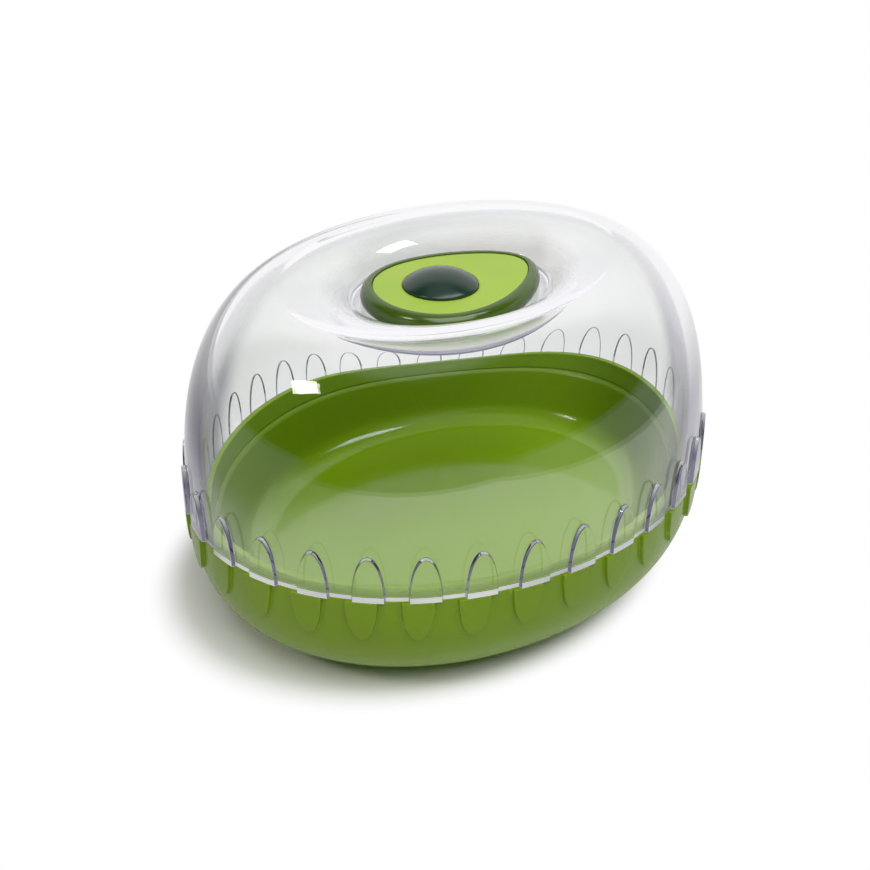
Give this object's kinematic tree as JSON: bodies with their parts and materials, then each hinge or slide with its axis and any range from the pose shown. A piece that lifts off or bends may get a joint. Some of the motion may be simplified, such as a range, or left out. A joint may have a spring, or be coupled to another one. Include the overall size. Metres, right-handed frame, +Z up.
{
  "type": "avocado keeper",
  "caption": "Oval food keeper: an open bowl with a rounded underside, and a clear dome lid that lifts off by a half-avocado knob set in a sunken well.",
  "frame": {"origin": "middle of the flat foot, on the surface that the bowl stands on", "axes": "+Z up, +X along the long axis towards the knob's narrow end, +Y to the left of +X"},
  "size_m": [0.1522, 0.1252, 0.0925],
  "materials": {
    "bowl_green": "smooth gloss",
    "lid_clear": "clear gloss",
    "skin_green": "smooth gloss",
    "flesh_lime": "satin",
    "pit_dark": "satin gloss"
  },
  "bodies": {
    "bowl": {"base_bowl": "bowl_green"},
    "lid": {"dome_lid": "lid_clear", "knob_skin": "skin_green", "knob_flesh": "flesh_lime", "knob_pit": "pit_dark"}
  },
  "joints": [
    {"name": "lid_lift", "type": "slide", "parent": "bowl", "child": "lid", "axis": [0, 0, 1], "range_m": [0, 0.12]}
  ]
}
